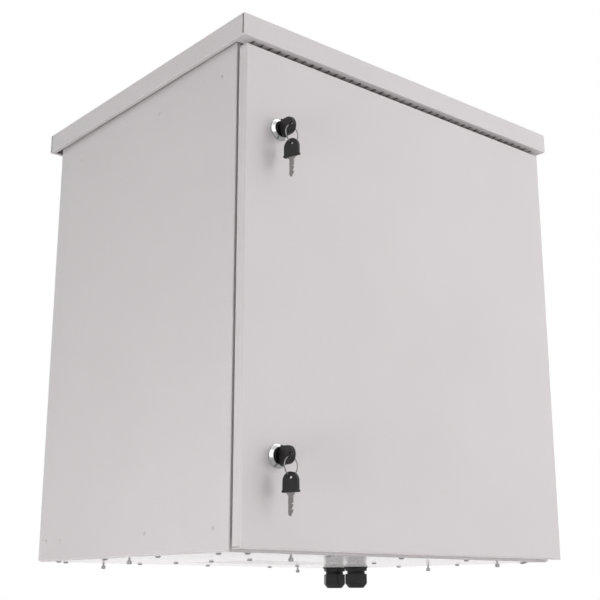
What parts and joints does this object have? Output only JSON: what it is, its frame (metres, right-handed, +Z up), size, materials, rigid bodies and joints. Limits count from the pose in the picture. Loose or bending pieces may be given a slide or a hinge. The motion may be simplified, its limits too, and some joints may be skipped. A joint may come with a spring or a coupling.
{
  "type": "wall-mounted outdoor equipment cabinet",
  "caption": "Box-shaped outdoor steel cabinet with an overhanging roof hood, a hinged door with keyed cam locks, an inner rack and cable glands underneath.",
  "frame": {"origin": "centre of the four wall holes, on the plane where the rear mounting rails meet the wall", "axes": "+X to the right seen from the front, +Y into the wall, so the door faces -Y, +Z up"},
  "size_m": [0.6224, 0.5572, 0.7234],
  "materials": {
    "grey_enamel": "smooth satin powder coat",
    "zinc_steel": "zinc plated",
    "lock_chrome": "polished",
    "lock_black": "semi-gloss black",
    "key_plastic": "moulded, matt black",
    "key_steel": "nickel plated",
    "gland_plastic": "moulded nylon, black",
    "seal_rubber": "matt",
    "gasket_foam": "closed-cell foam",
    "filter_fibre": "fibre mat"
  },
  "bodies": {
    "cabinet": {"left_side_panel": "grey_enamel", "right_side_panel": "grey_enamel", "rear_panel": "grey_enamel", "top_panel": "grey_enamel", "bottom_panel": "grey_enamel", "front_frame": "grey_enamel", "roof_hood": "grey_enamel", "hood_fixings": "zinc_steel", "upper_mounting_rail": "grey_enamel", "lower_mounting_rail": "grey_enamel", "mounting_rail_rivets": "zinc_steel", "channel_rivets": "grey_enamel", "rail_fasteners": "zinc_steel", "bottom_panel_screws": "zinc_steel", "captive_screws": "zinc_steel", "filter_tray": "zinc_steel", "filter_mat": "filter_fibre", "gland_locknuts": "gland_plastic", "earth_stud": "zinc_steel", "hinge_screws": "zinc_steel", "lower_left_channel": "zinc_steel", "upper_left_channel": "zinc_steel", "front_left_rack_rail": "zinc_steel", "rear_left_rack_rail": "zinc_steel", "lower_right_channel": "zinc_steel", "upper_right_channel": "zinc_steel", "front_right_rack_rail": "zinc_steel", "rear_right_rack_rail": "zinc_steel", "front_gland_body": "gland_plastic", "front_gland_nut": "gland_plastic", "front_gland_seal": "seal_rubber", "rear_gland_body": "gland_plastic", "rear_gland_nut": "gland_plastic", "rear_gland_seal": "seal_rubber", "upper_hinge_body_leaf": "zinc_steel", "lower_hinge_body_leaf": "zinc_steel"},
    "door": {"door_panel": "grey_enamel", "door_stiffener": "grey_enamel", "door_gasket": "gasket_foam", "lock_nuts": "zinc_steel", "upper_hinge_door_leaf": "zinc_steel", "lower_hinge_door_leaf": "zinc_steel", "upper_hinge_pin": "zinc_steel", "lower_hinge_pin": "zinc_steel", "upper_lock_housing": "lock_chrome", "lower_lock_housing": "lock_chrome"},
    "upper_plug": {"upper_lock_plug": "lock_black", "upper_lock_cam": "zinc_steel"},
    "upper_key": {"upper_key_head": "key_plastic", "upper_key_blade": "key_steel"},
    "upper_ring": {"upper_key_ring": "key_steel"},
    "upper_spare_key": {"upper_spare_key_head": "key_plastic", "upper_spare_key_blade": "key_steel"},
    "lower_plug": {"lower_lock_plug": "lock_black", "lower_lock_cam": "zinc_steel"},
    "lower_key": {"lower_key_head": "key_plastic", "lower_key_blade": "key_steel"},
    "lower_ring": {"lower_key_ring": "key_steel"},
    "lower_spare_key": {"lower_spare_key_head": "key_plastic", "lower_spare_key_blade": "key_steel"}
  },
  "joints": [
    {"name": "door_hinge", "type": "hinge", "parent": "cabinet", "child": "door", "pos_m": [0.29, -0.5111, 0], "axis": [0, 0, 1], "range_deg": [0, 110]},
    {"name": "upper_lock_turn", "type": "hinge", "parent": "door", "child": "upper_plug", "pos_m": [-0.2445, -0.52, 0.2083], "axis": [0, 1, 0], "range_deg": [0, 90]},
    {"name": "upper_key_pull", "type": "slide", "parent": "upper_plug", "child": "upper_key", "axis": [0, -1, 0], "range_m": [0, 0.0255]},
    {"name": "upper_ring_swing", "type": "hinge", "parent": "upper_key", "child": "upper_ring", "pos_m": [-0.24437, -0.54455, 0.20758], "axis": [0.9848, 0, 0.1736], "range_deg": [-90, 15]},
    {"name": "upper_spare_key_swing", "type": "hinge", "parent": "upper_ring", "child": "upper_spare_key", "pos_m": [-0.24437, -0.54455, 0.18338], "axis": [0.9744, 0.225, 0], "range_deg": [-90, 20]},
    {"name": "lower_lock_turn", "type": "hinge", "parent": "door", "child": "lower_plug", "pos_m": [-0.2445, -0.52, -0.2196], "axis": [0, 1, 0], "range_deg": [0, 90]},
    {"name": "lower_key_pull", "type": "slide", "parent": "lower_plug", "child": "lower_key", "axis": [0, -1, 0], "range_m": [0, 0.0255]},
    {"name": "lower_ring_swing", "type": "hinge", "parent": "lower_key", "child": "lower_ring", "pos_m": [-0.2445, -0.54435, -0.22069], "axis": [1, 0, 0], "range_deg": [-90, 15]},
    {"name": "lower_spare_key_swing", "type": "hinge", "parent": "lower_ring", "child": "lower_spare_key", "pos_m": [-0.2445, -0.54435, -0.24489], "axis": [0.9744, 0.225, 0], "range_deg": [-90, 20]}
  ]
}
